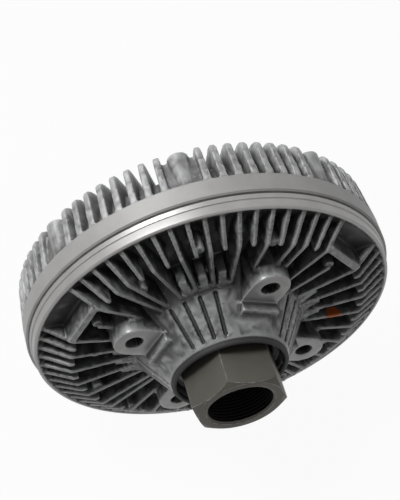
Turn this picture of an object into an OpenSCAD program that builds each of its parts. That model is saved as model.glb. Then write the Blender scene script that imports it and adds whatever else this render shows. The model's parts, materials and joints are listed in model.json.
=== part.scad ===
// Viscous fan clutch: a finned housing that spins on a bearing round a threaded drive shaft.
// Stations along the spin axis are measured from the rim seam, positive towards the drive nut.
// The finished part lies along Y with the thread mouth at the origin and the nut towards -Y.

/* [Rim] */
// Outer radius of the cover rim band
rim_r = 108.5; // [106:0.5:114]
// Height of the cover rim band
cover_band_h = 12.2; // [10:0.2:15]
// Height of the body rim band
body_band_h = 9; // [8:0.2:12]
// Step in from the cover rim to the body rim
rim_step = 1.6; // [0.6:0.2:2.4]
// Width of the chamfer on each side of the seam
seam_chamfer = 0.9; // [0.4:0.1:1.4]

/* [Body fins] */
// Fin positions in each quarter of the body
fins_per_quarter = 17; // [13:1:19]
// Fin thickness at the top edge
fin_top_t = 2.2; // [1.6:0.1:2.8]
// Fin thickness at the floor
fin_root_t = 3; // [2.4:0.1:3.6]
// Height of the flat fin tops above the seam
fin_top = 19; // [16:0.5:23]
// Radius where the fin tops start to slope to the rim
fin_kink_r = 87; // [82:0.5:92]
// Radius where the short fins end
short_fin_r = 84; // [78:0.5:88]
// Width of the body rim outside the fins
rim_wall = 3.2; // [2.4:0.2:4.4]
// Thickness of the body web
web_t = 4; // [3:0.2:5]

/* [Hub] */
// Radius of the hub at its open end
hub_end_r = 34.5; // [34:0.5:38]
// Radius of the hub cone at the web
hub_root_r = 60; // [57:0.5:63]
// Height of the hub end above the seam
hub_end = 43; // [42.5:0.5:46]
// Width of the grooves that run up the hub cone
groove_w = 2.2; // [1.6:0.1:2.6]
// Depth of the grooves in the hub cone
groove_d = 2.4; // [1.6:0.2:3]
// Outer radius of the lands at the foot of the hub cone
land_r = 62; // [60:0.5:66]
// Height of the lands above the seam at their outer end
land_top = 16.5; // [14:0.5:18]
// Width of a land
land_w = 5; // [4:0.2:5.4]

/* [Fan bosses] */
// Diameter of the fan bolt circle
fan_pcd = 114; // [108:1:120]
// Tapping radius of the fan bolt holes
fan_hole_r = 5.1; // [3.4:0.05:5.4]
// Height of the fan pads above the seam
fan_pad = 27; // [25:0.5:29]
// Half width of a fan pad
fan_pad_r = 12; // [10.5:0.5:13]
// Depth of a fan bolt hole
fan_hole_depth = 18; // [14:1:20]
// Radius of the turned shoulder inside the fan pads
fan_shoulder_r = 44.5; // [42:0.5:46]
// Height of that shoulder above the pads
fan_shoulder_h = 6; // [3:0.5:8]

/* [Recesses] */
// Width of the bar
bar_w = 4.6; // [4:0.2:6]
// Radius of the middle of the bar
bar_r = 87.2; // [86:0.2:90]
// Radius where the fin inside each recess ends
recess_fin_r = 78; // [74:0.5:80]
// Radius of the ejector bosses
ejector_r = 2.8; // [2:0.2:3.4]

/* [Drive shaft] */
// Width of the nut across its flats
nut_af = 50; // [48:1:52]
// Height of the nut face above the seam
nut_face = 66.5; // [62:0.5:70]
// Minor radius of the drive thread
thread_r = 19; // [17:0.25:20]
// Length of the drive thread
thread_l = 20; // [16:1:20]
// Chamfer at the thread mouth
thread_chamfer = 1.2; // [0.8:0.1:1.6]
// Radius of the shaft collar behind the nut
collar_r = 16.5; // [15.6:0.1:16.6]

/* [Bearing] */
// Bore radius of the bearing
bearing_bore_r = 12.5; // [12:0.1:13]
// Outer radius of the bearing
bearing_r = 26; // [25.6:0.1:27]
// Width of the bearing
bearing_w = 15; // [13:0.5:15]
// Number of balls
ball_count = 9; // [7:1:9]
// Radius of a ball
ball_r = 3.97; // [3.5:0.01:4]

/* [Rotor] */
// Outer radius of the rotor
rotor_r = 88.5; // [86:0.5:89]
// Thickness of the rotor disc
rotor_t = 3; // [2.4:0.2:3.4]
// Thickness of each shear ring
ring_t = 2.2; // [1.8:0.1:2.4]
// Radial distance between neighbouring shear rings of one piece
ring_pitch = 6; // [5.8:0.1:6.2]
// Number of shear rings on the rotor, and on the body
ring_count = 5; // [3:1:5]

/* [Cover] */
// Screw columns round the cover
column_count = 8; // [6:2:8]
// Fins between two screw columns
cover_fins = 8; // [6:1:8]
// Angle between neighbouring cover fins
cover_fin_pitch = 4.65; // [4.2:0.05:4.8]
// Cover fin thickness at the band
cover_fin_root_t = 4.4; // [3.4:0.1:4.8]
// Cover fin thickness at the tip
cover_fin_tip_t = 3.4; // [2.4:0.1:3.8]
// Height of the cover fins in front of the seam
cover_fin_top = 37.5; // [35:0.5:40]
// Radius where the long cover fins end
cover_fin_in_r = 40; // [36:1:46]
// Radius of a screw column
column_r = 6; // [5.6:0.1:6.4]
// Thickness of the cover face
cover_t = 4; // [3:0.2:5]
// Height of the cover face in front of the seam
cover_face = 28; // [26:0.5:30]

/* [Valve and coil] */
// Radius of the valve shaft
valve_r = 3; // [2.6:0.1:3.4]
// Turns of the temperature coil
coil_turns = 4; // [3:0.5:5]
// Outer radius of the temperature coil
coil_r = 19; // [17:0.5:22]
// Thickness of the coil strip
coil_t = 0.8; // [0.6:0.1:1]
// Width of the coil strip
coil_w = 6; // [5:0.5:7]
// Radius from the axis to the valve port
port_at = 40; // [34:1:46]
// Radius of the valve port
port_r = 4; // [3:0.5:5]

/* [Hidden] */
$fn = 96;
eps = 0.01;
seat_gap = 0.05;
run_gap = 0.4;
thread_mouth = nut_face - thread_chamfer;

// Directions measured round the axis from +X towards +Z
fan_angle = 62.5;
nut_angle = 45.4;
fin_shift = -0.9;
column_angle = 5.5;
fin_pitch = 90 / fins_per_quarter;
recess_fins = [[3, 12], [1, 0], [2, 6]];
recess_angles = [for (f = recess_fins) fin_angle(f[0], f[1])];
recess_half = 2 * fin_pitch;
land_fins = [5, 7, 9];
ejector_spots = concat([for (a = recess_angles) [recess_fin_r, a]],
    [[84, 69], [87, 97], [74, 124.5], [72, 175], [79, 203], [84, 231], [84, 301], [79, 329]]);

// Rim and seam
body_r = rim_r - rim_step;
fin_out_r = body_r - rim_wall;
rim_taper = 1.2;
bright_step = 0.5;
bright_from = 3.5;
fin_edge = body_band_h - 0.5;
floor_slope_w = 10;
rotor_room = 3.5;
spigot_wall = 5.5;
spigot_in_r = rotor_r + rotor_room;
spigot_r = spigot_in_r + spigot_wall;
spigot_h = 5;
seal_r = 0.9;
seal_at = 2.4;

// Bearing seat in the hub
bearing_end = 29;
bearing_start = bearing_end - bearing_w;
ring_groove_w = 1.5;
snap_t = 1.3;
snap_depth = 1.6;
snap_w = 3;
snap_gap_angle = 24;
lip_w = 3.5;
lip_h = 4;
lip_room = 1;
shield_h = 3;
shield_steps = 8;
nut_pocket = 37;
nut_back = nut_pocket + 1;
nut_corner_r = nut_af / sqrt(3);
nut_pocket_r = nut_corner_r + 2.6;
nut_face_r = nut_af / 2 - 0.4;
nut_chamfer_angle = 30;
ball_path_r = (bearing_bore_r + bearing_r) / 2;
ball_gap = 0.08;
race_gap = 2.75;
seal_t = 0.8;
cage_h = 10.4;
cage_half = 1.25;
bearing_mid = bearing_end - bearing_w / 2;

// Rotor stack, behind the pump plate
shear_gap = 1;
ring_h = 5.2;
disc_back = -(ring_h + shear_gap);
disc_front = disc_back - rotor_t;
first_ring_r = 57;
rotor_hub_r = bearing_bore_r + 3.6;
rotor_bore_r = bearing_bore_r - 1.5;
nose_r = 8;
retainer_r = nose_r + 5;
retainer_t = 2.6;
plate_t = 1.5;
plate_back = disc_front - 1.3;
plate_front = plate_back - plate_t;
plate_r = spigot_r - 1.8;
chamber_r = plate_r + seat_gap;
reservoir_r = plate_r - 6;
plate_screw_at = plate_r - 3;
plate_screw_r = 1.5;
plate_screw_head_r = 2.4;
plate_screw_head_h = 1;
plate_screw_count = 6;
plate_screw_depth = 5;
wiper_from = rotor_r + 1.2;
wiper_w = plate_r - wiper_from - 1;
wiper_l = 16;
wiper_h = -plate_back - spigot_h - 0.4;
wiper_angles = [20, 200];
rivet_r = 1.4;
rivet_head_r = 2.2;
rivet_head_h = 0.7;
rivet_pocket_d = rivet_head_h + run_gap;
wiper_at = wiper_from + wiper_w / 2;
scavenge_offset = wiper_l / 2 + 4;

// Cover
column_gap = 4;
column_at = spigot_r + column_gap;
column_top = -34.5;
screw_r = 2.5;
screw_hole_r = screw_r + 0.3;
screw_head_r = 4.25;
screw_head_h = 5;
screw_pocket_r = screw_head_r + 0.4;
screw_seat = -24;
screw_end = 5;
hex_key_r = 2.3;
hex_key_d = 2.6;
fin_lean = 1.9;
column_web_r = column_at + 2;
column_web_half = 6;
column_web_top = -32;
fin_tip_drop = 5;
short_cover_fin_r = cover_fin_in_r + 28;
face_edge_r = rim_r - 15;
wall_top_r = rim_r - 10;
wall_foot_r = rim_r - 5;
face_round = 4;
wall_foot = 1.5;
cover_inside = cover_t - cover_face;
valve_boss_r = 9;
valve_boss_in = 3;
valve_boss_front = -cover_face - 2;
oring_r = 0.9;
oring_at = -cover_face + 1;

// Valve and coil
arm_t = 0.9;
arm_front = plate_front - 0.35 - arm_t;
arm_w = 9;
arm_angle = 130;
coil_front = valve_boss_front - 1 - coil_w;
coil_in_r = valve_r + 1.6;
valve_front = coil_front - 1.5;
coil_slot = coil_t + 0.2;
post_r = 3;
post_room = 0.7;
post_at = coil_r + coil_t / 2 + post_room + post_r;
post_angle = 90;
coil_steps = 28;

// Carries a piece from axis stations to the finished frame
module place() {
    rotate([90, 0, 0])
        translate([0, 0, -thread_mouth])
            children();
}

// Cylinder between two stations
module disc(from, to, r, r_to = 0) {
    translate([0, 0, from])
        cylinder(h = to - from, r1 = r, r2 = r_to > 0 ? r_to : r);
}

// Hollow cylinder between two stations
module tube(from, to, r_in, r_out) {
    difference() {
        disc(from, to, r_out);
        disc(from - 1, to + 1, r_in);
    }
}

// Repeats a piece round the axis
module around(count, start = 0) {
    for (i = [0 : count - 1])
        rotate([0, 0, start + i * 360 / count])
            children();
}

// Tapered radial blade from one radius to another, standing on a station
module blade(from_r, to_r, root, top, root_t, top_t) {
    translate([from_r, 0, 0])
        rotate([90, 0, 90])
            linear_extrude(to_r - from_r)
                polygon([[-root_t / 2, root], [root_t / 2, root], [top_t / 2, top], [-top_t / 2, top]]);
}

function cone_r(a) = hub_root_r + (hub_end_r - hub_root_r) * (a - web_t) / (hub_end - web_t);
function turned(angle, other) = abs(((angle - other) % 360 + 540) % 360 - 180);
function fins_to_recess(angle) = min([for (r = recess_angles) turned(angle, r)]) / fin_pitch;
function is_long(q, k) = (k < 13 || q == 3) ? k % 2 == 0 : k % 2 == 1;
function fin_angle(q, k) = fan_angle + fin_shift + q * 90 + k * fin_pitch;

// Everything inside the tops of the body fins
module body_fin_envelope() {
    rotate_extrude()
        polygon([[hub_end_r, 1], [fin_out_r + 0.5, 1], [fin_out_r + 0.5, fin_edge], [fin_out_r, fin_edge],
            [fin_kink_r, fin_top], [hub_end_r, fin_top]]);
}

module body_fins() {
    fin_in_r = cone_r(fin_top) - 2;
    intersection() {
        body_fin_envelope();
        for (q = [0 : 3], k = [0 : fins_per_quarter - 1])
            let (steps = fins_to_recess(fin_angle(q, k)))
                if (steps < 0.5 || steps > 1.5)
                    rotate([0, 0, fin_angle(q, k)])
                        blade(is_long(q, k) ? fin_in_r : short_fin_r, steps < 0.5 ? recess_fin_r : rim_r,
                            web_t - 1, fin_top + 1, fin_root_t, fin_top_t);
    }
}

// Lands that carry the hub cone out between the long fins
module hub_lands() {
    land_in_r = cone_r(fin_top) - 2;
    for (q = [0 : 3], k = land_fins)
        rotate([0, 0, fin_angle(q, k)])
            rotate([90, 0, 0])
                linear_extrude(land_w, center = true)
                    polygon([[land_in_r, web_t - 1], [land_r + 0.5, web_t - 1], [land_r, land_top],
                        [cone_r(fin_top), fin_top], [land_in_r, fin_top]]);
}

module body_shell() {
    rotate_extrude()
        polygon([
            [bearing_r + seat_gap, 0], [spigot_in_r, 0], [spigot_in_r, -spigot_h],
            [spigot_r - seat_gap, -spigot_h], [spigot_r - seat_gap, 0],
            [body_r - seam_chamfer, 0], [body_r, seam_chamfer],
            [body_r - rim_taper / 3, bright_from], [body_r - rim_taper / 3 - bright_step, bright_from + 0.3],
            [body_r - rim_taper, body_band_h - 0.6], [body_r - rim_taper - 0.6, body_band_h],
            [fin_out_r, body_band_h], [fin_out_r, fin_edge], [fin_out_r - floor_slope_w, web_t],
            [hub_root_r, web_t], [hub_end_r, hub_end],
            [nut_pocket_r, hub_end], [nut_pocket_r, nut_pocket],
            [bearing_r + lip_room, nut_pocket], [bearing_r + lip_room, bearing_end + lip_h],
            [bearing_r - lip_w, bearing_end + lip_h], [bearing_r - lip_w, bearing_end],
            [bearing_r + seat_gap, bearing_end]]);
}

module fan_boss() {
    translate([fan_pcd / 2, 0, 0])
        disc(web_t - 1, fan_pad, fan_pad_r + 1, fan_pad_r);
    gusset_in_r = hub_end_r - 1.5;
    rotate([90, 0, 0])
        linear_extrude(2 * fan_pad_r, center = true)
            polygon([[gusset_in_r, web_t - 1], [fan_pcd / 2, web_t - 1], [fan_pcd / 2, fan_pad],
                [fan_shoulder_r, fan_pad], [fan_shoulder_r, fan_pad + fan_shoulder_h],
                [gusset_in_r, fan_pad + fan_shoulder_h]]);
}

module fan_hole() {
    translate([fan_pcd / 2, 0, 0])
        disc(fan_pad - fan_hole_depth, fan_pad + 1, fan_hole_r);
}

// Bar between the two long fins beside a recess
module recess_bar() {
    bar_half = bar_r * tan(recess_half);
    translate([bar_r - bar_w / 2, -bar_half, web_t - 1])
        cube([bar_w, 2 * bar_half, fin_top - web_t + 1]);
    rotate([0, 0, -recess_half])
        rotate_extrude(angle = 2 * recess_half)
            polygon([[bar_r, web_t - 1], [fin_out_r + 0.5, web_t - 1], [fin_out_r + 0.5, fin_edge],
                [fin_out_r, fin_edge], [bar_r, fin_edge - 2.5]]);
}

module hub_grooves() {
    rise = atan2(hub_root_r - hub_end_r, hub_end - web_t);
    for (q = [0 : 3], k = [6, 8, 10, 12])
        rotate([0, 0, fin_angle(q, k)])
            translate([cone_r(fin_top), 0, fin_top])
                rotate([0, -rise, 0])
                    translate([-groove_d, -groove_w / 2, 1])
                        cube([2 * groove_d, groove_w, (hub_end - fin_top) / cos(rise) - 3.5]);
}

module rear_body() {
    color("silver")
        place()
            difference() {
                union() {
                    body_shell();
                    body_fins();
                    hub_lands();
                    around(4, fan_angle)
                        fan_boss();
                    for (a = recess_angles)
                        rotate([0, 0, a])
                            recess_bar();
                    for (s = ejector_spots)
                        rotate([0, 0, s[1]])
                            translate([s[0], 0, 0])
                                disc(web_t - 1, fin_top - 2, ejector_r + 0.4, ejector_r);
                    for (i = [0 : ring_count - 1])
                        tube(-ring_h, 1, first_ring_r + i * ring_pitch - ring_t / 2,
                            first_ring_r + i * ring_pitch + ring_t / 2);
                }
                around(4, fan_angle)
                    fan_hole();
                hub_grooves();
                disc(-1, bearing_end, bearing_r + seat_gap);
                disc(bearing_start - ring_groove_w, bearing_start, bearing_r + snap_depth);
                tube(-seal_at - seal_r - seat_gap, -seal_at + seal_r + seat_gap,
                    spigot_r - 2 * seal_r - 2 * seat_gap, spigot_r + 1);
                around(column_count, column_angle)
                    translate([column_at, 0, 0])
                        disc(-1, screw_end, screw_r);
            }
}

module cover_fin_envelope() {
    rotate_extrude()
        polygon([[cover_fin_in_r, 1 - cover_face], [rim_r - 4, 1 - cover_band_h], [rim_r, -cover_band_h],
            [rim_r - fin_lean, 3.5 - cover_fin_top], [rim_r - fin_lean - 1.4, 1.2 - cover_fin_top],
            [rim_r - fin_lean - 4.5, -cover_fin_top],
            [cover_fin_in_r + fin_tip_drop, -cover_fin_top], [cover_fin_in_r, fin_tip_drop - cover_fin_top]]);
}

module cover_fin_set() {
    spread = (cover_fins - 1) * cover_fin_pitch / 2;
    intersection() {
        cover_fin_envelope();
        around(column_count, column_angle + 180 / column_count)
            for (i = [0 : cover_fins - 1])
                rotate([0, 0, i * cover_fin_pitch - spread])
                    blade(i % 2 == 0 ? cover_fin_in_r : short_cover_fin_r, rim_r + 1, 2 - cover_band_h,
                        -cover_fin_top - 1, cover_fin_root_t, cover_fin_tip_t);
    }
}

// Screw column and the web that ties it to its neighbours
module column() {
    translate([column_at, 0, 0])
        disc(column_top, 1 - cover_band_h, column_r);
    rotate([0, 0, -column_web_half])
        rotate_extrude(angle = 2 * column_web_half)
            polygon([[reservoir_r - 2, 1 - cover_band_h], [rim_r - 2, 1 - cover_band_h],
                [column_web_r, column_web_top], [reservoir_r - 2, column_web_top]]);
}

// Outside of the cover, before the cavity is cut
module cover_outside() {
    rotate_extrude()
        polygon([
            [0, -cover_face], [face_edge_r, -cover_face], [wall_top_r, face_round - cover_face],
            [wall_foot_r, -cover_band_h - wall_foot], [rim_r - 1, -cover_band_h], [rim_r, 1 - cover_band_h],
            [rim_r, -seam_chamfer], [rim_r - seam_chamfer, 0], [0, 0]]);
    cover_fin_set();
    around(column_count, column_angle)
        column();
}

// Reservoir, pump plate seat and body spigot seat
module cover_cavity() {
    spigot_floor = -spigot_h - 0.3;
    rotate_extrude()
        polygon([
            [0, 1], [spigot_r, 1], [spigot_r, spigot_floor], [chamber_r, spigot_floor],
            [chamber_r, plate_front], [reservoir_r, plate_front], [reservoir_r, cover_inside], [0, cover_inside]]);
}

module front_cover() {
    color("gainsboro")
        place()
            difference() {
                union() {
                    difference() {
                        cover_outside();
                        cover_cavity();
                    }
                    disc(valve_boss_front, cover_inside + valve_boss_in, valve_boss_r);
                    rotate([0, 0, post_angle])
                        translate([post_at, 0, 0])
                            disc(coil_front, 1 - cover_face, post_r);
                }
                disc(-2 * cover_face, 0, valve_r + seat_gap);
                tube(oring_at - oring_r - seat_gap, oring_at + oring_r + seat_gap, valve_r - 1,
                    valve_r + 2 * oring_r + 2 * seat_gap);
                around(column_count, column_angle)
                    translate([column_at, 0, 0]) {
                        disc(column_top - 1, 1, screw_hole_r);
                        disc(column_top - 1, screw_seat, screw_pocket_r);
                    }
                around(plate_screw_count)
                    translate([plate_screw_at, 0, 0])
                        disc(plate_front - plate_screw_depth, plate_front + 1, plate_screw_r);
                for (a = wiper_angles)
                    rotate([0, 0, a]) {
                        translate([wiper_at, 0, 0])
                            disc(plate_front - rivet_pocket_d, plate_front + 1, rivet_head_r + run_gap);
                        translate([reservoir_r - 1, scavenge_offset - rivet_r, plate_front - rivet_pocket_d])
                            cube([wiper_at - reservoir_r + rivet_r + 1, 2 * rivet_r, rivet_pocket_d + 1]);
                    }
                rotate([0, 0, post_angle])
                    translate([post_at - post_r - 1, -coil_slot / 2, coil_front - 1])
                        cube([post_r + 1 + seat_gap, coil_slot, coil_w + 1 + seat_gap]);
            }
}

module cover_seal() {
    color("dimgray")
        place()
            translate([0, 0, -seal_at])
                rotate_extrude()
                    translate([spigot_r - seal_r - seat_gap, 0])
                        circle(seal_r, $fn = 32);
}

module cover_screws() {
    color("slategray")
        place()
            around(column_count, column_angle)
                translate([column_at, 0, 0])
                    difference() {
                        union() {
                            disc(screw_seat, screw_end, screw_r);
                            disc(screw_seat - screw_head_h, screw_seat, screw_head_r);
                        }
                        translate([0, 0, screw_seat - screw_head_h - 1])
                            cylinder(h = hex_key_d + 1, r = hex_key_r, $fn = 6);
                    }
}

module drive_shaft() {
    color("dimgray")
        place()
            difference() {
                union() {
                    intersection() {
                        translate([0, 0, nut_back])
                            rotate([0, 0, nut_angle])
                                cylinder(h = nut_face - nut_back, r = nut_corner_r, $fn = 6);
                        disc(nut_back, nut_face, nut_face_r + (nut_face - nut_back) / tan(nut_chamfer_angle),
                            nut_face_r);
                    }
                    disc(bearing_end, nut_back + 1, collar_r);
                    disc(bearing_start, bearing_end + 1, bearing_bore_r);
                    disc(disc_back - 1, bearing_start + 1, rotor_bore_r);
                    disc(disc_back - retainer_t, disc_back, nose_r);
                }
                disc(thread_mouth - thread_l, nut_face + 1, thread_r);
                disc(thread_mouth, nut_face + eps, thread_r, thread_r + thread_chamfer + eps);
            }
}

module rotor() {
    color("lightsteelblue")
        place()
            difference() {
                union() {
                    disc(disc_front, disc_back, rotor_r);
                    disc(disc_front, bearing_start, rotor_hub_r);
                    for (i = [0 : ring_count - 1])
                        tube(disc_back - 1, -shear_gap,
                            first_ring_r + (i + 0.5) * ring_pitch - ring_t / 2,
                            first_ring_r + (i + 0.5) * ring_pitch + ring_t / 2);
                }
                disc(disc_front - 1, bearing_start + 1, rotor_bore_r);
                disc(disc_front - 1, disc_back - 1, retainer_r + 1);
            }
}

module rotor_retainer() {
    color("darkslategray")
        place()
            tube(disc_back - retainer_t, disc_back - 1, nose_r, retainer_r);
}

module bearing_inner_race() {
    color("lightgray")
        place()
            difference() {
                tube(bearing_start, bearing_end, bearing_bore_r, ball_path_r - race_gap);
                ball_groove();
            }
}

module bearing_outer_race() {
    color("lightgray")
        place()
            difference() {
                tube(bearing_start, bearing_end, ball_path_r + race_gap, bearing_r);
                ball_groove();
            }
}

module ball_groove() {
    translate([0, 0, bearing_mid])
        rotate_extrude()
            translate([ball_path_r, 0])
                circle(ball_r + ball_gap, $fn = 48);
}

module bearing_balls() {
    color("white")
        place()
            around(ball_count)
                translate([ball_path_r, 0, bearing_mid])
                    sphere(ball_r, $fn = 48);
}

module bearing_cage() {
    color("goldenrod")
        place()
            difference() {
                tube(bearing_mid - cage_h / 2, bearing_mid + cage_h / 2, ball_path_r - cage_half,
                    ball_path_r + cage_half);
                around(ball_count)
                    translate([ball_path_r - ball_r, 0, bearing_mid])
                        rotate([0, 90, 0])
                            cylinder(h = 2 * ball_r, r = ball_r + ball_gap);
            }
}

module bearing_seals() {
    seal_in_r = ball_path_r - race_gap + run_gap;
    color("black")
        place() {
            tube(bearing_start, bearing_start + seal_t, seal_in_r, ball_path_r + race_gap);
            tube(bearing_end - seal_t, bearing_end, seal_in_r, ball_path_r + race_gap);
        }
}

module bearing_snap_ring() {
    snap_out_r = bearing_r + snap_depth - seat_gap;
    color("gray")
        place()
            rotate([0, 0, snap_gap_angle / 2])
                translate([0, 0, bearing_start - snap_t - seat_gap])
                    rotate_extrude(angle = 360 - snap_gap_angle)
                        translate([snap_out_r - snap_w, 0])
                            square([snap_w, snap_t]);
}

// Round-topped ring on the hub's end face
module dust_shield() {
    bead_r = (hub_end_r - seat_gap - nut_pocket_r) / 2;
    color("black")
        place()
            translate([0, 0, hub_end])
                rotate_extrude()
                    translate([nut_pocket_r + bead_r, 0])
                        polygon(concat([[-bead_r, 0], [bead_r, 0]],
                            [for (i = [0 : shield_steps]) let (turn = i * 180 / shield_steps)
                                [bead_r * cos(turn), shield_h - bead_r + bead_r * sin(turn)]]));
}

module pump_plate() {
    color("darkkhaki")
        place()
            difference() {
                disc(plate_front, plate_back, plate_r);
                rotate([0, 0, arm_angle])
                    translate([port_at, 0, 0])
                        disc(plate_front - 1, plate_back + 1, port_r);
                around(plate_screw_count)
                    translate([plate_screw_at, 0, 0])
                        disc(plate_front - 1, plate_back + 1, plate_screw_r);
                for (a = wiper_angles)
                    rotate([0, 0, a]) {
                        translate([wiper_at, 0, 0])
                            disc(plate_front - 1, plate_back + 1, rivet_r);
                        translate([wiper_at, scavenge_offset, 0])
                            disc(plate_front - 1, plate_back + 1, rivet_r);
                    }
            }
}

module pump_plate_screws() {
    color("slategray")
        place()
            around(plate_screw_count)
                translate([plate_screw_at, 0, 0]) {
                    disc(plate_front - plate_screw_depth, plate_back + plate_screw_head_h / 2, plate_screw_r);
                    disc(plate_back, plate_back + plate_screw_head_h, plate_screw_head_r);
                }
}

module scavenge_wipers() {
    color("burlywood")
        place()
            for (a = wiper_angles)
                rotate([0, 0, a])
                    difference() {
                        translate([wiper_from, -wiper_l / 2, plate_back])
                            cube([wiper_w, wiper_l, wiper_h]);
                        tube(plate_back - 1, 0, chamber_r - 0.5, rim_r);
                        disc(plate_back - 1, 0, wiper_from);
                        translate([wiper_at, 0, 0])
                            disc(plate_back - 1, 0, rivet_r);
                    }
}

module wiper_rivets() {
    color("silver")
        place()
            for (a = wiper_angles)
                rotate([0, 0, a])
                    translate([wiper_at, 0, 0]) {
                        disc(plate_front - rivet_head_h, plate_back + wiper_h, rivet_r);
                        disc(plate_front - rivet_head_h, plate_front, rivet_head_r);
                    }
}

module valve_shaft() {
    color("silver")
        place()
            difference() {
                disc(valve_front, arm_front + arm_t, valve_r);
                translate([-coil_slot / 2, -valve_r - 1, valve_front - 1])
                    cube([coil_slot, 2 * valve_r + 2, coil_front + coil_w - valve_front + 1 + seat_gap]);
            }
}

module valve_arm() {
    color("steelblue")
        place()
            rotate([0, 0, arm_angle])
                translate([0, 0, arm_front])
                    difference() {
                        union() {
                            translate([0, -arm_w / 2, 0])
                                cube([port_at, arm_w, arm_t]);
                            cylinder(h = arm_t, r = valve_r + 5);
                            translate([port_at, 0, 0])
                                cylinder(h = arm_t, r = port_r + 2);
                        }
                        translate([0, 0, -1])
                            cylinder(h = arm_t + 2, r = valve_r);
                    }
}

module valve_oring() {
    color("black")
        place()
            translate([0, 0, oring_at])
                rotate_extrude()
                    translate([valve_r + seat_gap + oring_r, 0])
                        circle(oring_r, $fn = 32);
}

// One side of the coil strip, from the shaft out to the post
function coil_side(offset) = [
    for (i = [0 : coil_turns * coil_steps])
        let (turn = i / coil_steps, r = coil_in_r + (coil_r - coil_in_r) * turn / coil_turns + offset)
            [r * cos(turn * 360 + 90), r * sin(turn * 360 + 90)]];

function reversed(list) = [for (i = [len(list) - 1 : -1 : 0]) list[i]];

module bimetal_coil() {
    color("chocolate")
        place()
            translate([0, 0, coil_front])
                union() {
                    linear_extrude(coil_w)
                        polygon(concat(coil_side(-coil_t / 2), reversed(coil_side(coil_t / 2))));
                    translate([-coil_t / 2, -valve_r, 0])
                        cube([coil_t, valve_r + coil_in_r, coil_w]);
                    translate([-coil_t / 2, coil_r - coil_t / 4, 0])
                        cube([coil_t, post_at - coil_r + coil_t / 4, coil_w]);
                }
}

drive_shaft();
rotor();
rotor_retainer();
bearing_inner_race();
bearing_outer_race();
bearing_balls();
bearing_cage();
bearing_seals();
bearing_snap_ring();
dust_shield();
rear_body();
front_cover();
cover_seal();
cover_screws();
pump_plate();
pump_plate_screws();
scavenge_wipers();
wiper_rivets();
valve_shaft();
valve_arm();
valve_oring();
bimetal_coil();
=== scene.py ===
"""Dresses the viscous fan clutch: cast fins, turned rims, a phosphated drive nut and its thread."""

import json
import math

import bmesh
import bpy
import numpy as np
from mathutils import Matrix, Vector


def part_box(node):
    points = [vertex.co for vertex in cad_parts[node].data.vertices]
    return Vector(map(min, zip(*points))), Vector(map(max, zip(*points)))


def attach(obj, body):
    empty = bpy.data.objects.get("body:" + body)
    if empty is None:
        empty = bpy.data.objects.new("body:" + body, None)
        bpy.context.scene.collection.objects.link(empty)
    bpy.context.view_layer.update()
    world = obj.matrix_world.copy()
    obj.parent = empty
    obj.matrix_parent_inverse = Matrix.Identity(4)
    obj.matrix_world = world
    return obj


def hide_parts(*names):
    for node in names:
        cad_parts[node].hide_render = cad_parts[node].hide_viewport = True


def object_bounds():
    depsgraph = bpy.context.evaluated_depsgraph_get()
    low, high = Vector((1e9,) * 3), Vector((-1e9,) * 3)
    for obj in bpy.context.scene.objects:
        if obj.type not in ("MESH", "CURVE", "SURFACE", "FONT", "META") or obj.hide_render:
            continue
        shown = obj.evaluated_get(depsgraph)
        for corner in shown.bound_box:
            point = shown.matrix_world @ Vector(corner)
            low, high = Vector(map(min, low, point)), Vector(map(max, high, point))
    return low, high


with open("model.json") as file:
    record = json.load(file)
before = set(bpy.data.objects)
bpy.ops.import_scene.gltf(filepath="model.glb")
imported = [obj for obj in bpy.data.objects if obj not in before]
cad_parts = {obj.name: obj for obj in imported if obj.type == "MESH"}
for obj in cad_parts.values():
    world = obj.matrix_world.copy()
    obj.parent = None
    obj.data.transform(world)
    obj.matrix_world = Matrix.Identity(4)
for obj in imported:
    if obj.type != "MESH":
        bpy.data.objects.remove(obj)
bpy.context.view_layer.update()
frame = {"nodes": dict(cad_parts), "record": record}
MM = 0.001

# Stations are places along the spin axis, in millimetres from the rim seam and positive towards the nut
SEAM_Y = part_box("front_cover")[0][1]
COVER_FRONT = (SEAM_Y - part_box("front_cover")[1][1]) / MM
MOUNTS = {mount["name"]: mount for mount in frame["record"]["mounts"]}
THREAD_MOUTH = (SEAM_Y - MOUNTS["drive_thread"]["pos_m"][1]) / MM
THREAD_END = THREAD_MOUTH - MOUNTS["drive_thread"]["dims"]["length_mm"]
FAN_PAD = (SEAM_Y - MOUNTS["fan_bolts"]["pos_m"][1]) / MM
FIN_TOP = 19.0
FIN_EDGE = 8.5
COVER_BAND = -12.2
COVER_FINS_FROM = COVER_BAND - 0.8
COVER_BAND_FROM = COVER_BAND - 0.2
SCREW_SEAT = -24.0

# Radii in millimetres, and angles in degrees round the axis from +X towards +Z
COVER_RIM_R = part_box("front_cover")[1][0] / MM
COVER_FIN_OUT_R = COVER_RIM_R - 2.5
COVER_BAND_IN_R = COVER_RIM_R - 3.5
RIM_STEP = 1.6
BODY_RIM_R = COVER_RIM_R - RIM_STEP
BODY_BAND_DEPTH = 3.2
FIN_OUT_R = BODY_RIM_R - BODY_BAND_DEPTH
FIN_KINK_R = 87.0
FIN_IN_R = 50.0
FAN_PAD_FROM_R = 44.5
FAN_PAD_TO_R = 70.0
FAN_ANGLE = 62.5
FAN_PAD_HALF_ANGLE = 17.0
COIL_RECESS_R = 40.0
THREAD_MINOR_R = MOUNTS["drive_thread"]["dims"]["r_mm"]
THREAD_DEPTH = 1.0
THREAD_MAJOR_R = THREAD_MINOR_R + THREAD_DEPTH
THREAD_PITCH = 2.0
THREAD_BACK_R = THREAD_MAJOR_R + 0.6
CREST_SINK = 0.1
CREST_R = 0.95
SCREW_CIRCLE_R = 101.5
SCREW_ANGLE = 5.5
SCREW_COUNT = 8
VALVE_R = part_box("valve_shaft")[1][0] / MM
COIL_BACK = (SEAM_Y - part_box("bimetal_coil")[0][1]) / MM
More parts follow.
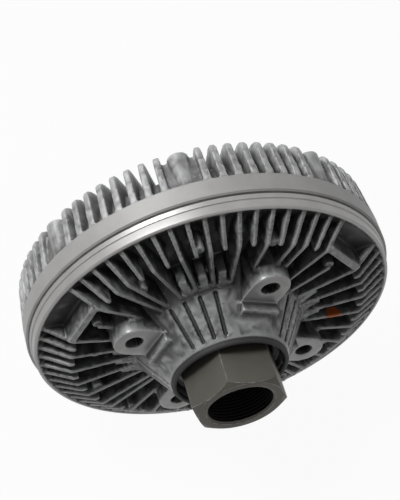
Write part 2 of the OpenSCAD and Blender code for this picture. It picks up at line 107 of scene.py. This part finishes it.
COIL_FRONT = (SEAM_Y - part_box("bimetal_coil")[1][1]) / MM
COIL_TONGUE_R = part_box("bimetal_coil")[1][2] / MM
COIL_IN_R = VALVE_R + 1.6
COIL_OUT_R = 19.0
COIL_TURNS = 4
COIL_STEPS_PER_TURN = 56
COIL_STRIP = 0.8
COIL_BEND_R = 1.0
COIL_BEND_STEPS = 8
COIL_EYE_GAP = 0.1
COIL_TONGUE_LAP = 0.2

# Turned bands: each point's station, and how far it lies inside the rim's radius
BODY_BAND_PROFILE = [
    (0.0, 2.9), (0.0, 0.9), (0.9, 0.0), (3.4, 0.4), (3.6, 0.9), (3.9, 0.85), (8.4, 1.2), (9.05, 1.9),
    (9.05, 2.9)]
COVER_BAND_PROFILE = [
    (COVER_BAND + 0.3, 2.5), (COVER_BAND + 0.3, 0.6), (COVER_BAND + 1, 0.0), (-0.9, 0.0), (-0.05, 0.9),
    (-0.05, 2.5)]

# A cover screw: its rings from the head's top edge to the tip, as depth below the seat and radius; the
# knurls on its head; and its hex socket, whose mouth and floor are heights above the seat
SCREW_RINGS = [(-5.0, 3.6), (-4.6, 4.1), (-0.3, 4.25), (0.0, 4.1), (0.0, 2.5), (28.0, 2.5), (28.8, 1.8)]
SCREW_SIDES = 48
KNURL_FROM_R = 4
KNURL_TOP = -4.7
KNURL_DEPTH = 0.12
SOCKET_MOUTH = 5.0
SOCKET_FLOOR = 2.4
SOCKET_HALF_FLATS = 2.0

# Castings: the grain at which they are rebuilt from the solids, how often they are rounded, the dents in
# them, how far a vertex stands off its neighbours for full lightening of a ridge and full painted shade in
# a corner, and how far a turned band lies over the casting
CAST_GRAIN = 0.65 * MM
CAST_ROUNDING = 5
CAST_TRIANGLES = 190000
CAST_UNEVENNESS = 0.3 * MM
CAST_DENT = 10 * MM
RIDGE_HEIGHT = 0.10 * MM
BAND_COVER = 0.4

# The nut's broken edges, and the angles in degrees from which an edge is shaded sharp
BROKEN_EDGE = 0.4 * MM
SHARP_TURNED = 25
SHARP_MADE = 35

# How near the pad's level a faced vertex lies, and how far down the fins the painted shade starts and is
# full
FACED_WITHIN = 0.3
PAINTED_SHADE_FROM = 0.5
BODY_PAINTED_SHADE_DEPTH = 8
COVER_PAINTED_SHADE_DEPTH = 9

# Light: what a diffuse surface gets from all round, the white that is seen, how much of it the floor shows,
# and each lamp's name, direction, size in metres and watts
AMBIENT = 0.06
SEEN_WHITE = 0.97
FLOOR_WHITE = 0.95
FLOOR_GREY = 0.6
FLOOR_HALF = 6
FLOOR_GAP = 0.6 * MM
LAMPS = [("back", (-0.38, 0.55, 0.74), 0.8, 5), ("top", (-0.40, 0.10, 0.91), 0.3, 10)]
LAMP_DISTANCE = 1.2

# The photograph's view, fitted to the rim, hub and nut: its axes, and its place along them from the seam
# in millimetres
VIEW_RIGHT = Vector((0.9667, -0.2560, 0.0))
VIEW_UP = Vector((0.2109, 0.7966, 0.5667))
VIEW_BACK = Vector((-0.1451, -0.5478, 0.8239))
VIEW_PLACE = (-5.96, 33.97, 760)
VIEW_LENS = 93.6
VIEW_SENSOR = 36
VIEW_NEAR = 0.01


def station(a):
    """The Y of a station along the spin axis."""
    return SEAM_Y - a * MM


def on_axis(a, r, angle):
    """The point at a station, radius and angle round the spin axis."""
    turn = math.radians(angle)
    return Vector((r * MM * math.cos(turn), station(a), r * MM * math.sin(turn)))


class Value:
    """A node socket that Python's operators turn into Math nodes."""

    def __init__(self, graph, socket):
        self.graph = graph
        self.socket = socket

    def math(self, operation, *others):
        return self.graph.node("ShaderNodeMath", {"operation": operation}, [self, *others])

    def __add__(self, other):
        return self.math("ADD", other)

    def __radd__(self, other):
        return self.math("ADD", other)

    def __sub__(self, other):
        return self.math("SUBTRACT", other)

    def __rsub__(self, other):
        return self.graph.node("ShaderNodeMath", {"operation": "SUBTRACT"}, [other, self])

    def __mul__(self, other):
        return self.math("MULTIPLY", other)

    def __rmul__(self, other):
        return self.math("MULTIPLY", other)

    def ramp(self, low, high):
        """0 at low and 1 at high, smooth between them."""
        settings = {"interpolation_type": "SMOOTHSTEP"}
        sockets = {"Value": self, "From Min": low, "From Max": high}
        return self.graph.node("ShaderNodeMapRange", settings, sockets)


class Graph:
    """A node tree, with one method that makes any node in it."""

    def __init__(self, tree):
        self.tree = tree

    def node(self, kind, settings=None, sockets=None, output=0):
        """Adds a node: its settings first, then its sockets, and returns one output."""
        made = self.tree.nodes.new(kind)
        for key, value in (settings or {}).items():
            setattr(made, key, value)
        pairs = sockets.items() if isinstance(sockets, dict) else enumerate(sockets or [])
        for key, value in pairs:
            self.join(value, made.inputs[key])
        return Value(self, made.outputs[output])

    def join(self, value, socket):
        if isinstance(value, Value):
            self.tree.links.new(value.socket, socket)
        else:
            socket.default_value = value

    def seen_rays(self):
        """1 for a ray that shows the surface to the camera, straight or in a reflection."""
        kinds = ("Is Camera Ray", "Is Glossy Ray", "Is Transmission Ray")
        camera, glossy, transmission = [self.node("ShaderNodeLightPath", output=kind) for kind in kinds]
        return camera.math("MAXIMUM", glossy).math("MAXIMUM", transmission)


class Finish(Graph):
    """One material: a Principled surface and the nodes that feed it."""

    def __init__(self, name, **constants):
        self.material = bpy.data.materials.new(name)
        self.material.use_nodes = True
        super().__init__(self.material.node_tree)
        self.shader = self.tree.nodes["Principled BSDF"]
        self.set(**constants)
        self.place = self.node("ShaderNodeTexCoord", output="Object")

    def set(self, **sockets):
        for name, value in sockets.items():
            self.join(value, self.shader.inputs[name.replace("_", " ")])

    def noise(self, size_mm, detail=4.0, stretch=(1, 1, 1)):
        """Noise whose grains are about this size, from 0 to 1."""
        scale = [s / (size_mm * MM) for s in stretch]
        at = self.node("ShaderNodeMapping", {}, {"Vector": self.place, "Scale": scale})
        sockets = {"Vector": at, "Scale": 1.0, "Detail": detail, "Roughness": 0.55}
        return self.node("ShaderNodeTexNoise", {}, sockets)

    def attribute(self, name):
        return self.node("ShaderNodeAttribute", {"attribute_name": name}, output="Fac")

    def mix(self, mask, low, high):
        """A colour between two, by a mask."""
        sockets = {0: mask, 6: low, 7: high}
        return self.node("ShaderNodeMix", {"data_type": "RGBA"}, sockets, output=2)

    def near(self, point, radius_mm):
        """1 close to a point and 0 beyond the radius."""
        settings = {"operation": "DISTANCE"}
        away = self.node("ShaderNodeVectorMath", settings, [self.place, point], output="Value")
        return 1 - away.ramp(0.7 * radius_mm * MM, radius_mm * MM)

    def bump(self, height, depth_mm, strength=1.0):
        sockets = {"Height": height, "Distance": depth_mm * MM, "Strength": strength}
        self.set(Normal=self.node("ShaderNodeBump", {}, sockets))


class Growth(Graph):
    """A Geometry Nodes tree whose named inputs size one piece."""

    def __init__(self, name, finish, **sizes):
        super().__init__(bpy.data.node_groups.new(name, "GeometryNodeTree"))
        self.values = {key.replace("_", " "): size for key, size in sizes.items()}
        for key, size in self.values.items():
            kind = "NodeSocketInt" if isinstance(size, int) else "NodeSocketFloat"
            self.tree.interface.new_socket(key, in_out="INPUT", socket_type=kind)
        self.values["Finish"] = finish
        self.tree.interface.new_socket("Finish", in_out="INPUT", socket_type="NodeSocketMaterial")
        self.tree.interface.new_socket("Geometry", in_out="OUTPUT", socket_type="NodeSocketGeometry")
        self.inputs = self.tree.nodes.new("NodeGroupInput")

    def given(self, name):
        return Value(self, self.inputs.outputs[name])

    def piece(self, name, geometry):
        """Ends the tree in real, painted geometry and bakes it into a new object."""
        real = self.node("GeometryNodeRealizeInstances", {}, [geometry])
        sockets = {"Geometry": real, "Material": self.given("Finish")}
        painted = self.node("GeometryNodeSetMaterial", {}, sockets)
        self.join(painted, self.tree.nodes.new("NodeGroupOutput").inputs["Geometry"])
        made = new_object(name, bpy.data.meshes.new(name))
        modifier = made.modifiers.new("growth", "NODES")
        modifier.node_group = self.tree
        for item in self.tree.interface.items_tree:
            if item.in_out == "INPUT":
                modifier[item.identifier] = self.values[item.name]
        return bake(made)


def grey(level, warm=0.0):
    return (level * (1 + warm), level, level * (1 - warm), 1.0)


def darker(colour, share):
    return tuple(share * c for c in colour[:3]) + (1.0,)


PAINT_DAB = on_axis(17.5, 71, 353.5)
PAINT_DAB_R = 5.4
PAINT_ORANGE = (0.85, 0.19, 0.045, 1.0)


def cast_aluminium(name, light, dark, ridge_light):
    """Die-cast skin: mottled, with painted shade in corners and valleys, ridges lightened by wear and a
    painted highlight, and bright faced pads.
    """
    skin = Finish(name, Specular_IOR_Level=0.3)
    mottle = skin.noise(9, 5)
    blotch = skin.noise(26, 4)
    grain = skin.noise(0.9, 3)
    faced = skin.attribute("faced")
    valley = skin.attribute("valley")
    ridge = skin.attribute("ridge")
    corner = skin.attribute("corner")
    base = skin.mix(mottle.ramp(0.3, 0.7), grey(dark, 0.008), grey(light, -0.004))
    # Painted shade: the valleys between the fins darken towards half the dark level
    base = skin.mix(valley * (0.55 + 0.35 * blotch), base, grey(dark * 0.5, 0.02))
    # Painted shade in concave corners
    base = skin.mix(corner * 0.6, base, grey(dark * 0.3, 0.04))
    # Ridges lighten: partly edge wear, partly a painted highlight
    base = skin.mix(ridge * (0.45 + 0.5 * mottle), base, grey(ridge_light, -0.01))
    base = skin.mix(faced * (0.6 + 0.4 * mottle), base, grey(ridge_light, 0.01))
    dab = skin.near(PAINT_DAB, PAINT_DAB_R) * skin.noise(3, 3).ramp(0.38, 0.5)
    base = skin.mix(dab, base, PAINT_ORANGE)
    roughness = 0.28 + 0.16 * mottle - 0.06 * ridge + 0.2 * valley
    skin.set(Base_Color=base, Roughness=roughness, Metallic=(0.18 - 0.14 * valley) * (1 - dab))
    skin.bump(grain * 0.6 + mottle * 0.4, 0.14, 0.5)
    return skin.material


def turned_aluminium(name, level, roughness, metallic):
    """A lathe-cut band: fine lines that run round the axis, and faint stains."""
    cut = Finish(name, Metallic=metallic)
    lines = cut.noise(40, 3, (0.05, 180, 0.05))
    smear = cut.noise(14, 4)
    base = cut.mix(smear.ramp(0.25, 0.75), grey(level * 0.86, 0.02), grey(level, 0.01))
    cut.set(Base_Color=base, Roughness=roughness + 0.1 * lines + 0.1 * smear)
    cut.bump(lines, 0.03, 0.4)
    return cut.material


def phosphated_steel(name, scuffing):
    """The nut's dark grey-brown conversion coat, scuffed where a wrench has been."""
    coat = Finish(name, Metallic=0.3)
    cloud = coat.noise(12, 6)
    crystal = coat.noise(0.5, 3)
    scuff = coat.noise(5, 6, (1, 0.35, 1)).ramp(0.66 - 0.26 * scuffing, 0.80 - 0.2 * scuffing)
    base = coat.mix(cloud, (0.066, 0.062, 0.050, 1), (0.115, 0.108, 0.090, 1))
    base = coat.mix(scuff * (0.25 + 0.5 * scuffing), base, grey(0.32, 0.03))
    coat.set(Base_Color=base, Roughness=0.44 + 0.16 * cloud + 0.08 * crystal)
    coat.bump(crystal, 0.05, 0.6)
    return coat.material


def plain_steel(name, level, roughness):
    """Bare steel, faintly clouded."""
    steel = Finish(name, Metallic=0.95)
    cloud = steel.noise(6, 5)
    base = steel.mix(cloud, grey(level * 0.85), grey(level))
    steel.set(Base_Color=base, Roughness=roughness + 0.12 * cloud)
    steel.bump(steel.noise(0.4, 2), 0.02, 0.4)
    return steel.material


def moulded(name, colour, roughness, gloss=0.4):
    """Rubber or plastic with a faint moulded grain."""
    skin = Finish(name, Specular_IOR_Level=gloss)
    cloud = skin.noise(5, 4)
    base = skin.mix(cloud, darker(colour, 0.75), colour)
    skin.set(Base_Color=base, Roughness=roughness + 0.1 * cloud)
    skin.bump(skin.noise(0.5, 2), 0.03, 0.4)
    return skin.material


def metal_strip(name, colour, roughness):
    """Brass or bimetal with rolling marks along one way."""
    strip = Finish(name, Metallic=0.9)
    streak = strip.noise(8, 4, (0.4, 6, 0.4))
    base = strip.mix(streak, darker(colour, 0.7), colour)
    strip.set(Base_Color=base, Roughness=roughness + 0.15 * streak)
    strip.bump(streak, 0.02, 0.3)
    return strip.material


def new_object(name, content):
    made = bpy.data.objects.new(name, content)
    bpy.context.collection.objects.link(made)
    return made


def mesh_piece(name, points, faces, material):
    """A new object from points and faces, with outward normals."""
    mesh = bpy.data.meshes.new(name)
    mesh.from_pydata([tuple(p) for p in points], [], faces)
    mesh.materials.append(material)
    work = bmesh.new()
    work.from_mesh(mesh)
    bmesh.ops.remove_doubles(work, verts=work.verts, dist=1e-7)
    bmesh.ops.recalc_face_normals(work, faces=work.faces)
    work.to_mesh(mesh)
    work.free()
    return new_object(name, mesh)


def shade(piece, sharp_angle):
    """Smooth shading that keeps the edges sharper than an angle in degrees."""
    piece.data.shade_smooth()
    piece.data.set_sharp_from_angle(angle=math.radians(sharp_angle))
    return piece


def lathe(name, profile, material, steps=240):
    """A closed profile of (station, radius) pairs, turned round the spin axis."""
    n = len(profile)
    points, faces = [], []
    for i in range(steps):
        t = 2 * math.pi * i / steps
        points += [(r * MM * math.cos(t), station(a), r * MM * math.sin(t)) for a, r in profile]
    for i in range(steps):
        here, there = i * n, (i + 1) % steps * n
        for j in range(n):
            k = (j + 1) % n
            faces.append((here + j, here + k, there + k, there + j))
    return shade(mesh_piece(name, points, faces, material), SHARP_TURNED)


def merged_copy(node, name):
    """A copy of a CAD node's mesh with its loose triangles joined up."""
    source = frame["nodes"][node]
    mesh = source.data.copy()
    mesh.transform(source.matrix_world)
    mesh.materials.clear()
    work = bmesh.new()
    work.from_mesh(mesh)
    bmesh.ops.remove_doubles(work, verts=work.verts, dist=2e-6)
    work.to_mesh(mesh)
    work.free()
    return new_object(name, mesh)


def bake(piece):
    """Turns a piece's modifiers into a plain mesh."""
    solved = piece.evaluated_get(bpy.context.evaluated_depsgraph_get())
    mesh = bpy.data.meshes.new_from_object(solved)
    mesh.name = piece.name
    piece.modifiers.clear()
    piece.data = mesh
    return piece


def cast_copy(node, name, material):
    """A casting: the solid with rounded edges, filled corners and a slightly uneven skin."""
    piece = merged_copy(node, name)
    remesh = piece.modifiers.new("grain", "REMESH")
    remesh.mode = "VOXEL"
    remesh.voxel_size = CAST_GRAIN
    smooth = piece.modifiers.new("rounding", "SMOOTH")
    smooth.factor = 0.5
    smooth.iterations = CAST_ROUNDING
    uneven = piece.modifiers.new("unevenness", "DISPLACE")
    uneven.texture = bpy.data.textures.new("casting_unevenness", "CLOUDS")
    uneven.texture.noise_scale = CAST_DENT
    uneven.texture.noise_depth = 2
    uneven.strength = CAST_UNEVENNESS
    bake(piece)
    thin = piece.modifiers.new("thin", "DECIMATE")
    thin.ratio = min(1.0, CAST_TRIANGLES / (2.0 * len(piece.data.polygons)))
    bake(piece)
    piece.data.materials.append(material)
    piece.data.shade_smooth()
    return piece


def read(items, name, width, kind=float):
    """One property of many mesh items, as rows of numbers."""
    values = np.empty(len(items) * width, dtype=kind)
    items.foreach_get(name, values)
    return values.reshape(-1, width)


def store(mesh, name, values):
    layer = mesh.attributes.new(name, "FLOAT", "POINT")
    layer.data.foreach_set("value", np.clip(values, 0, 1).astype(np.float32))


def polar(mesh):
    """Station, radius and angle of every vertex."""
    x, y, z = read(mesh.vertices, "co", 3).T
    return (SEAM_Y - y) / MM, np.hypot(x, z) / MM, np.degrees(np.arctan2(z, x))


def store_relief(mesh):
    """Marks ridges for lightening, part wear and part painted highlight, and corners for painted shade, by
    how far a vertex stands off its neighbours.
    """
    points = read(mesh.vertices, "co", 3)
    ends = read(mesh.edges, "vertices", 2, np.int32)
    total = np.zeros_like(points)
    number = np.zeros(len(points))
    for near, far in ((0, 1), (1, 0)):
        np.add.at(total, ends[:, near], points[ends[:, far]])
        np.add.at(number, ends[:, near], 1)
    height = np.sum((points - total / number[:, None]) * read(mesh.vertices, "normal", 3), axis=1)
    store(mesh, "ridge", height / RIDGE_HEIGHT)
    store(mesh, "corner", -height / RIDGE_HEIGHT)


def draw_in(mesh, chosen):
    """Draws a cast band in a little, so that the turned one lies over it."""
    points = read(mesh.vertices, "co", 3)
    points[chosen, 0] *= 1 - BAND_COVER / COVER_RIM_R
    points[chosen, 2] *= 1 - BAND_COVER / COVER_RIM_R
    mesh.vertices.foreach_set("co", points.ravel())
    mesh.update()


def dress_body(cast, turned):
    """The finned rear body with its turned rim."""
    body = cast_copy("rear_body", "cast_body", cast)
    a, r, angle = polar(body.data)
    off_boss = np.abs((angle - FAN_ANGLE + 45) % 90 - 45)
    over_pad = (off_boss < FAN_PAD_HALF_ANGLE) & (r > FAN_PAD_FROM_R) & (r < FAN_PAD_TO_R)
    store(body.data, "faced", over_pad & (np.abs(a - FAN_PAD) < FACED_WITHIN))
    store_relief(body.data)
    slope = (FIN_TOP - FIN_EDGE) / (FIN_OUT_R - FIN_KINK_R)
    fin_height = np.minimum(FIN_TOP, FIN_EDGE + (FIN_OUT_R - r) * slope)
    among_fins = (a > 0) & (r > FIN_IN_R) & (r < FIN_OUT_R)
    # Painted shade, deepening down the fins' sides
    store(body.data, "valley", among_fins * (fin_height - a - PAINTED_SHADE_FROM) / BODY_PAINTED_SHADE_DEPTH)
    draw_in(body.data, r > FIN_OUT_R)
    profile = [(place, BODY_RIM_R - inside) for place, inside in BODY_BAND_PROFILE]
    return body, lathe("body_rim", profile, turned)


def dress_cover(cast, turned):
    """The finned front cover with its turned rim."""
    cover = cast_copy("front_cover", "cast_cover", cast)
    a, r, _ = polar(cover.data)
    store(cover.data, "faced", np.zeros(len(a)))
    store_relief(cover.data)
    among_fins = (a < COVER_FINS_FROM) & (r > COIL_RECESS_R)
    depth = np.minimum(COVER_FIN_OUT_R - r, a - COVER_FRONT)
    # Painted shade, deepening down the cover fins' sides
    store(cover.data, "valley", among_fins * depth / COVER_PAINTED_SHADE_DEPTH)
    draw_in(cover.data, (a > COVER_BAND_FROM) & (r > COVER_BAND_IN_R))
    profile = [(place, COVER_RIM_R - inside) for place, inside in COVER_BAND_PROFILE]
    return cover, lathe("cover_rim", profile, turned)


def grow_thread(finish):
    """The thread's crest: a ridge that follows a helix down the bore."""
    length = THREAD_MOUTH - THREAD_END - THREAD_PITCH
    thread = Growth(
        "drive_thread", finish, Crest_radius=(THREAD_MAJOR_R + CREST_SINK) * MM,
        Crest_depth=CREST_R * MM, Length=length * MM, Turns=length / THREAD_PITCH)
    radius = thread.given("Crest radius")
    path = thread.node("GeometryNodeCurveSpiral", {}, {
        "Resolution": 48, "Rotations": thread.given("Turns"), "Height": thread.given("Length"),
        "Start Radius": radius, "End Radius": radius})
    ridge = thread.node("GeometryNodeCurvePrimitiveCircle", {}, {
        "Resolution": 6, "Radius": thread.given("Crest depth")})
    sweep = thread.node("GeometryNodeCurveToMesh", {}, {
        "Curve": path, "Profile Curve": ridge, "Fill Caps": True})
    crest = thread.piece("thread_crest", sweep)
    along = Matrix.Rotation(-math.pi / 2, 4, "X")
    crest.data.transform(Matrix.Translation((0, station(THREAD_MOUTH - THREAD_PITCH / 2), 0)) @ along)
    crest.data.shade_smooth()
    return crest


def cut_bore_wall(mesh):
    """Takes the plain wall out of the bore, where the thread goes, and joins flat faces up."""
    work = bmesh.new()
    work.from_mesh(mesh)
    wall = []
    for face in work.faces:
        middle = face.calc_center_median()
        a = (SEAM_Y - middle.y) / MM
        inward = face.normal.x * middle.x + face.normal.z * middle.z < 0
        if abs(face.normal.y) < 0.1 and inward and THREAD_END < a < THREAD_MOUTH:
            wall.append(face)
    bmesh.ops.delete(work, geom=wall, context="FACES")
    bmesh.ops.dissolve_limit(work, angle_limit=math.radians(1), verts=work.verts, edges=work.edges)
    work.to_mesh(mesh)
    work.free()


def dress_drive_shaft(coat, worn, bore):
    """The hex nut and shaft with broken edges, and the thread in its bore."""
    shaft = merged_copy("drive_shaft", "drive_nut")
    cut_bore_wall(shaft.data)
    shaft.data.materials.append(coat)
    shaft.data.materials.append(worn)
    broken = shaft.modifiers.new("broken_edges", "BEVEL")
    broken.width = BROKEN_EDGE
    broken.segments = 2
    broken.limit_method = "ANGLE"
    broken.angle_limit = math.radians(SHARP_TURNED)
    broken.material = 1
    shade(bake(shaft), SHARP_MADE)
    wall = lathe("thread_wall", [
        (THREAD_MOUTH, THREAD_MINOR_R), (THREAD_MOUTH - THREAD_DEPTH, THREAD_MAJOR_R),
        (THREAD_END + THREAD_DEPTH, THREAD_MAJOR_R), (THREAD_END, THREAD_MINOR_R),
        (THREAD_END, THREAD_BACK_R), (THREAD_MOUTH, THREAD_BACK_R)], bore, steps=96)
    return shaft, wall, grow_thread(bore)


def screw_template(material):
    """A socket head screw along +Y from its seat, with a knurled head."""
    turns = [2 * math.pi * i / SCREW_SIDES for i in range(SCREW_SIDES)]
    points, rings = [], []

    def add_ring(depth, radii):
        rings.append(range(len(points), len(points) + SCREW_SIDES))
        for r, t in zip(radii, turns):
            points.append((r * MM * math.cos(t), -depth * MM, r * MM * math.sin(t)))

    off_flat = [(t + math.pi / 6) % (math.pi / 3) - math.pi / 6 for t in turns]
    for depth in (-SOCKET_FLOOR, -SOCKET_MOUTH):
        add_ring(depth, [SOCKET_HALF_FLATS / math.cos(angle) for angle in off_flat])
    for depth, r in SCREW_RINGS:
        knurl = KNURL_DEPTH if r > KNURL_FROM_R and KNURL_TOP < depth < 0 else 0
        add_ring(depth, [r - knurl * (i % 2) for i in range(SCREW_SIDES)])
    faces = [tuple(rings[0]), tuple(rings[-1])]
    for upper, lower in zip(rings, rings[1:]):
        for i in range(SCREW_SIDES):
            k = (i + 1) % SCREW_SIDES
            faces.append((upper[i], upper[k], lower[k], lower[i]))
    return mesh_piece("screw_template", points, faces, material)


def dress_cover_screws(steel):
    """Copies of one screw at even steps round the spin axis."""
    template = screw_template(steel)
    ring = Growth(
        "screw_ring", steel, Count=SCREW_COUNT, Circle_radius=SCREW_CIRCLE_R * MM,
        Start_angle=math.radians(SCREW_ANGLE))
    circle = ring.node("GeometryNodeMeshCircle", {}, {
        "Vertices": ring.given("Count"), "Radius": ring.given("Circle radius")})
    screw = ring.node("GeometryNodeObjectInfo", {}, {"Object": template}, output="Geometry")
    upright = ring.node("GeometryNodeTransform", {}, {
        "Geometry": screw, "Rotation": (-math.pi / 2, 0, 0)})
    spread = ring.node("GeometryNodeInstanceOnPoints", {}, {"Points": circle, "Instance": upright})
    angle = ring.node("ShaderNodeCombineXYZ", {}, {"Z": ring.given("Start angle")})
    turned = ring.node("GeometryNodeTransform", {}, {"Geometry": spread, "Rotation": angle})
    screws = ring.piece("cover_screw_set", turned)
    along = Matrix.Rotation(math.pi / 2, 4, "X")
    screws.data.transform(Matrix.Translation((0, station(SCREW_SEAT), 0)) @ along)
    shade(screws, SHARP_MADE)
    bpy.data.objects.remove(template)
    return [screws]


def coil_path():
    """Points (x, z) along the strip: out along a spiral, round a bend and into the post."""
    steps = COIL_STEPS_PER_TURN * COIL_TURNS
    bend = COIL_BEND_R
    last_turn = COIL_TURNS - math.asin(bend / COIL_OUT_R) / (2 * math.pi)
    path = []
    for i in range(steps + 1):
        turn = last_turn * i / steps
        r = COIL_IN_R + (COIL_OUT_R - COIL_IN_R) * turn / COIL_TURNS
        angle = 2 * math.pi * turn + math.pi / 2
        path.append((r * math.cos(angle), r * math.sin(angle)))
    foot = path[-1][1] + bend
    for i in range(1, COIL_BEND_STEPS + 1):
        angle = math.pi / (2 * COIL_BEND_STEPS) * i
        path.append((bend - bend * math.sin(angle), foot - bend * math.cos(angle)))
    path.append((0.0, COIL_TONGUE_R))
    return path


def strip_piece(name, path, material):
    """A flat strip on edge along a path of (x, z) points, between the coil's two faces."""
    points, faces = [], []
    for i, (x, z) in enumerate(path):
        before, after = path[max(i - 1, 0)], path[min(i + 1, len(path) - 1)]
        across = Vector((after[1] - before[1], before[0] - after[0])).normalized() * COIL_STRIP / 2
        for side, a in ((1, COIL_FRONT), (1, COIL_BACK), (-1, COIL_BACK), (-1, COIL_FRONT)):
            points.append(((x + side * across.x) * MM, station(a), (z + side * across.y) * MM))
    for i in range(len(path) - 1):
        for j in range(4):
            k = (j + 1) % 4
            faces.append((4 * i + j, 4 * i + k, 4 * i + 4 + k, 4 * i + 4 + j))
    last = 4 * len(path) - 4
    faces += [(0, 1, 2, 3), (last, last + 1, last + 2, last + 3)]
    return shade(mesh_piece(name, points, faces, material), SHARP_MADE)


def dress_coil(material):
    """The temperature coil, and apart from it the eye and tongue that turn with the valve shaft."""
    eye_in = VALVE_R + COIL_EYE_GAP
    eye_out = COIL_IN_R - COIL_STRIP / 2 - COIL_EYE_GAP
    section = [(COIL_FRONT, eye_in), (COIL_FRONT, eye_out), (COIL_BACK, eye_out), (COIL_BACK, eye_in)]
    eye = lathe("coil_eye", section, material, steps=64)
    tongue = strip_piece("coil_tongue", [(0.0, -VALVE_R), (0.0, eye_in + COIL_TONGUE_LAP)], material)
    return [strip_piece("coil_winding", coil_path(), material)], [eye, tongue]


def set_floor():
    """A white floor under the part that still takes its shadow."""
    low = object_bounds()[0][2] - FLOOR_GAP
    paint = Finish("floor_white", Roughness=0.9, Base_Color=grey(FLOOR_GREY))
    glow = paint.node("ShaderNodeEmission", {}, {"Color": (1, 1, 1, 1)})
    lit = Value(paint, paint.shader.outputs[0])
    blend = paint.node("ShaderNodeMixShader", {}, [paint.seen_rays() * FLOOR_WHITE, lit, glow])
    paint.join(blend, paint.tree.nodes["Material Output"].inputs["Surface"])
    points = [(x * FLOOR_HALF, y * FLOOR_HALF, low) for x, y in ((-1, -1), (1, -1), (1, 1), (-1, 1))]
    mesh_piece("floor", points, [(0, 1, 2, 3)], paint.material)


def add_lamp(name, toward, size, watts):
    """A soft square lamp that shines at the clutch from a direction."""
    lamp = bpy.data.lights.new(name, "AREA")
    lamp.size = size
    lamp.energy = watts
    back = Vector(toward).normalized()
    place = new_object(name, lamp)
    place.location = Vector((0, SEAM_Y, 0)) + back * LAMP_DISTANCE
    place.rotation_euler = back.to_track_quat("Z", "Y").to_euler()


def set_light():
    """A white world that lights the part only a little, and the lamps."""
    world = bpy.data.worlds.new("studio")
    world.use_nodes = True
    studio = Graph(world.node_tree)
    background = world.node_tree.nodes["Background"]
    background.inputs["Color"].default_value = (1, 1, 1, 1)
    studio.join(AMBIENT + (SEEN_WHITE - AMBIENT) * studio.seen_rays(), background.inputs["Strength"])
    bpy.context.scene.world = world
    for lamp in LAMPS:
        add_lamp(*lamp)


def set_camera():
    """The photograph's view."""
    lens = bpy.data.cameras.new("view")
    lens.lens = VIEW_LENS
    lens.sensor_width = VIEW_SENSOR
    lens.clip_start = VIEW_NEAR
    camera = new_object("view", lens)
    place = Vector((0, SEAM_Y, 0))
    axes = (VIEW_RIGHT, VIEW_UP, VIEW_BACK)
    for along, axis in zip(VIEW_PLACE, axes):
        place += along * MM * axis
    camera.matrix_world = Matrix.Translation(place) @ Matrix(axes).transposed().to_4x4()
    bpy.context.scene.camera = camera


bpy.context.scene.view_settings.view_transform = "Standard"
steel = plain_steel("plain_steel", level=0.42, roughness=0.32)
race_steel = plain_steel("race_steel", level=0.6, roughness=0.15)
rubber = moulded("black_rubber", (0.03, 0.03, 0.03, 1), roughness=0.6)
wiper = moulded("wiper_plastic", (0.55, 0.45, 0.28, 1), roughness=0.5)
brass = metal_strip("cage_brass", (0.68, 0.48, 0.18, 1), roughness=0.3)
bimetal = metal_strip("bimetal_strip", (0.50, 0.36, 0.24, 1), roughness=0.35)
turned_inner = turned_aluminium("turned_inner", level=0.5, roughness=0.35, metallic=0.85)

NODE_FINISH = {
    "rotor": turned_inner, "pump_plate": turned_inner, "rotor_retainer": steel,
    "bearing_inner_race": race_steel, "bearing_outer_race": race_steel, "bearing_balls": race_steel,
    # The dust shield's black rubber darkens the ring at the hub's end, and is partly painted shade
    "bearing_cage": brass, "bearing_seals": rubber, "bearing_snap_ring": steel, "dust_shield": rubber,
    "cover_seal": rubber, "pump_plate_screws": steel, "scavenge_wipers": wiper, "wiper_rivets": steel,
    "valve_shaft": steel, "valve_arm": steel, "valve_oring": rubber}
for node, finish in NODE_FINISH.items():
    mesh = frame["nodes"][node].data
    mesh.materials.clear()
    mesh.materials.append(finish)

# Both castings are one alloy: the body's lower levels than the cover's are painted shade on its face, which
# is turned away from the lamps
body_skin = cast_aluminium("cast_body_skin", light=0.115, dark=0.06, ridge_light=0.46)
cover_skin = cast_aluminium("cast_cover_skin", light=0.25, dark=0.14, ridge_light=0.50)
body_band = turned_aluminium("turned_body_band", level=0.34, roughness=0.29, metallic=0.6)
cover_band = turned_aluminium("turned_cover_band", level=0.32, roughness=0.38, metallic=0.2)
nut_coat = phosphated_steel("nut_coat", scuffing=0.0)
# The broken edges: scuffed, and lightened also as a painted highlight along them
nut_edge = phosphated_steel("nut_edge", scuffing=1.0)
# Painted shade: the bore and its thread are coloured near black for the shadow inside the nut
bore_shade = moulded("oiled_bore", (0.005, 0.005, 0.005, 1), roughness=0.5, gloss=0.08)

coil_winding, coil_eye = dress_coil(bimetal)
for piece in coil_eye:
    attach(piece, "valve")
DRESSED = [
    (dress_body(body_skin, body_band), "rear_body", "housing", "cast_aluminium"),
    (dress_cover(cover_skin, cover_band), "front_cover", "housing", "cast_aluminium"),
    (dress_drive_shaft(nut_coat, nut_edge, bore_shade), "drive_shaft", "drive", "phosphated_steel"),
    (dress_cover_screws(steel), "cover_screws", "housing", "plain_steel"),
    (coil_winding, "bimetal_coil", "housing", "bimetal")]
for pieces, node, body, slot in DRESSED:
    for piece in pieces:
        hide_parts(node)
        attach(piece, body)

set_floor()
set_light()
set_camera()
